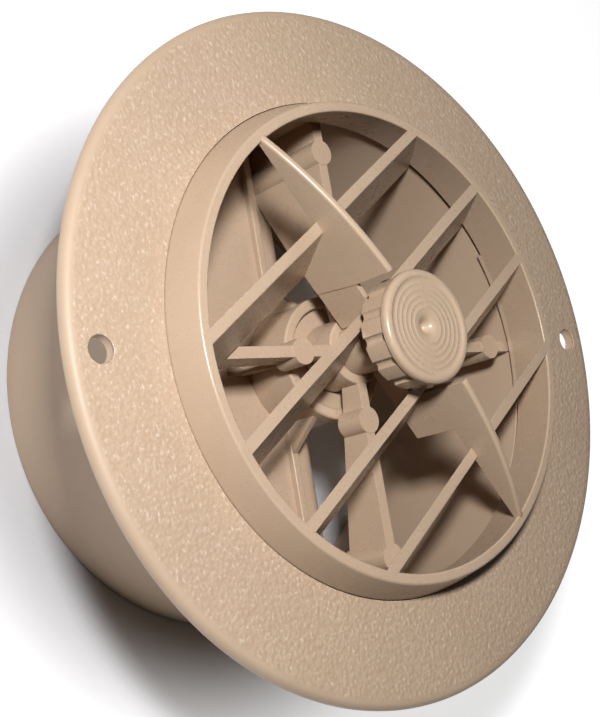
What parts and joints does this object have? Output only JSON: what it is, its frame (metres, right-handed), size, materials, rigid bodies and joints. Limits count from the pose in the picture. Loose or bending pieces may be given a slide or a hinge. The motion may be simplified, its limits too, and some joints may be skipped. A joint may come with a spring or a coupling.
{
  "type": "vent register",
  "caption": "Round air register for a wall, floor or ceiling: flanged duct collar, turning grille of slanted vanes, and a central knob that turns a half-round damper.",
  "frame": {"origin": "centre of the flange's back face, on the register's axis", "axes": "+Z along the axis out of the face, +X through one of the two screw holes"},
  "size_m": [0.1396, 0.1396, 0.0706],
  "materials": {
    "grained_plastic": "fine grain on the flange, satin elsewhere",
    "smooth_plastic": "satin"
  },
  "bodies": {
    "housing": {"housing": "grained_plastic"},
    "grille": {"deflector_grille": "smooth_plastic"},
    "damper": {"damper_knob": "smooth_plastic", "damper_shutter": "smooth_plastic"}
  },
  "joints": [
    {"name": "grille_turn", "type": "hinge", "parent": "housing", "child": "grille", "pos_m": [0, 0, 0], "axis": [0, 0, 1], "continuous": true},
    {"name": "damper_turn", "type": "hinge", "parent": "housing", "child": "damper", "pos_m": [0, 0, 0], "axis": [0, 0, 1], "range_deg": [0, 180]}
  ]
}
